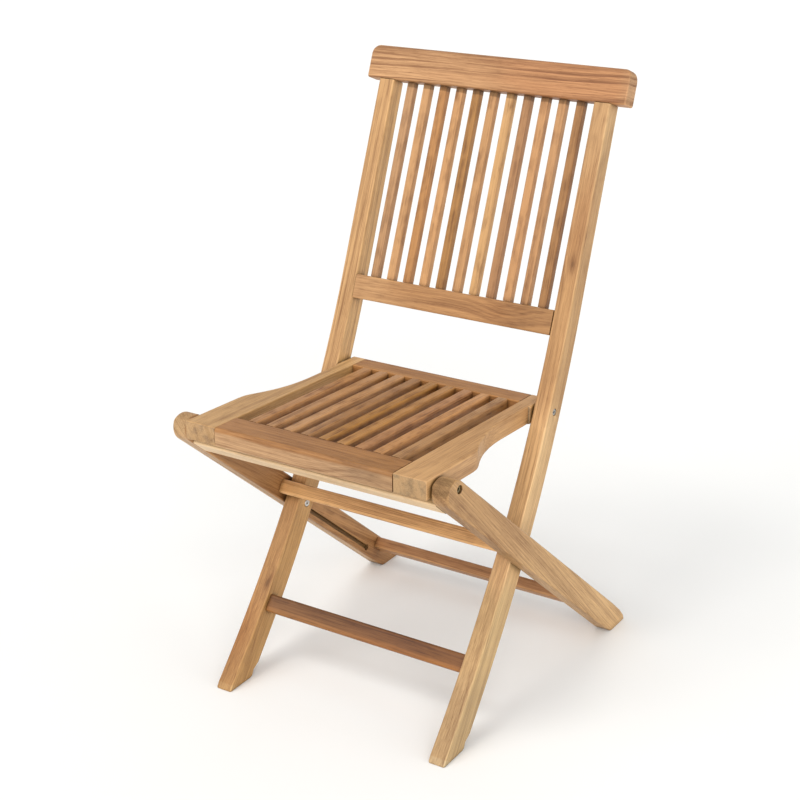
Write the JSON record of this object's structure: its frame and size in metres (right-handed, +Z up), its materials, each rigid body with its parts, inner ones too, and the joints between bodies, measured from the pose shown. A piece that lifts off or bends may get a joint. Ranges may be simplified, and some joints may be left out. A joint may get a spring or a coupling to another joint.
{
  "type": "folding garden dining chair",
  "caption": "Folding slatted teak garden chair: a tilted slatted seat on two crossed leg frames, a leaning slatted backrest with a rounded crest rail, and steel pivots.",
  "frame": {"origin": "on the ground, under the middle of the chair's box when it stands open", "axes": "+Z up, -Y towards the front edge of the seat, +X along the pivots, to the right when the chair is seen from the front"},
  "size_m": [0.4766, 0.552, 0.8931],
  "materials": {
    "back_slat_01": "satin, light teak",
    "back_slat_02": "satin, light teak",
    "back_slat_03": "satin, light teak",
    "back_slat_04": "satin, light teak",
    "back_slat_05": "satin, light teak",
    "back_slat_06": "satin, light teak",
    "back_slat_07": "satin, light teak",
    "back_slat_08": "satin, light teak",
    "back_slat_09": "satin, light teak",
    "back_slat_10": "satin, light teak",
    "back_slat_11": "satin, light teak",
    "crest_rail": "satin, light teak",
    "front_cross_rail": "satin, light teak",
    "front_leg_stretcher": "satin, dark teak",
    "front_pivot_screw_left": "satin",
    "front_pivot_screw_right": "satin",
    "front_washer_left": "dull",
    "front_washer_right": "dull",
    "groove_pin_left": "satin",
    "groove_pin_right": "satin",
    "lower_back_rail": "satin, light teak",
    "lower_stretcher": "satin, dark teak",
    "rear_leg_left": "satin, light teak",
    "rear_leg_right": "satin, light teak",
    "rear_pivot_screw_left": "satin",
    "rear_pivot_screw_right": "satin",
    "rear_washer_left": "dull",
    "rear_washer_right": "dull",
    "seat_front_rail": "satin, light teak",
    "seat_rear_rail": "satin, light teak",
    "seat_side_left": "satin, light teak",
    "seat_side_right": "satin, light teak",
    "seat_slat_01": "satin, light teak",
    "seat_slat_02": "satin, light teak",
    "seat_slat_03": "satin, light teak",
    "seat_slat_04": "satin, light teak",
    "seat_slat_05": "satin, light teak",
    "seat_slat_06": "satin, light teak",
    "seat_slat_07": "satin, light teak",
    "seat_slat_08": "satin, light teak",
    "seat_slat_09": "satin, light teak",
    "stile_left": "satin, light teak",
    "stile_right": "satin, light teak",
    "upper_stretcher": "satin, light teak"
  },
  "bodies": {
    "back_frame": {"back_slat_01": "back_slat_01", "back_slat_02": "back_slat_02", "back_slat_03": "back_slat_03", "back_slat_04": "back_slat_04", "back_slat_05": "back_slat_05", "back_slat_06": "back_slat_06", "back_slat_07": "back_slat_07", "back_slat_08": "back_slat_08", "back_slat_09": "back_slat_09", "back_slat_10": "back_slat_10", "back_slat_11": "back_slat_11", "crest_rail": "crest_rail", "front_leg_stretcher": "front_leg_stretcher", "groove_pin_left": "groove_pin_left", "groove_pin_right": "groove_pin_right", "lower_back_rail": "lower_back_rail", "stile_left": "stile_left", "stile_right": "stile_right"},
    "seat": {"front_pivot_screw_left": "front_pivot_screw_left", "front_pivot_screw_right": "front_pivot_screw_right", "front_washer_left": "front_washer_left", "front_washer_right": "front_washer_right", "rear_pivot_screw_left": "rear_pivot_screw_left", "rear_pivot_screw_right": "rear_pivot_screw_right", "rear_washer_left": "rear_washer_left", "rear_washer_right": "rear_washer_right", "seat_front_rail": "seat_front_rail", "seat_rear_rail": "seat_rear_rail", "seat_side_left": "seat_side_left", "seat_side_right": "seat_side_right", "seat_slat_01": "seat_slat_01", "seat_slat_02": "seat_slat_02", "seat_slat_03": "seat_slat_03", "seat_slat_04": "seat_slat_04", "seat_slat_05": "seat_slat_05", "seat_slat_06": "seat_slat_06", "seat_slat_07": "seat_slat_07", "seat_slat_08": "seat_slat_08", "seat_slat_09": "seat_slat_09"},
    "rear_leg_frame": {"front_cross_rail": "front_cross_rail", "lower_stretcher": "lower_stretcher", "rear_leg_left": "rear_leg_left", "rear_leg_right": "rear_leg_right", "upper_stretcher": "upper_stretcher"}
  },
  "joints": [
    {"name": "fold", "type": "hinge", "parent": "back_frame", "child": "seat", "pos_m": [0, 0.0558, 0.42], "axis": [-1, 0, 0], "range_deg": [0, 100.4]},
    {"name": "rear_leg_swing", "type": "hinge", "parent": "seat", "child": "rear_leg_frame", "pos_m": [0, -0.2423, 0.4297], "axis": [1, 0, 0], "range_deg": [0, 36.19]}
  ],
  "couplings": [
    {"joint": "rear_leg_swing", "follows": "fold", "ratio": 0.36027}
  ]
}
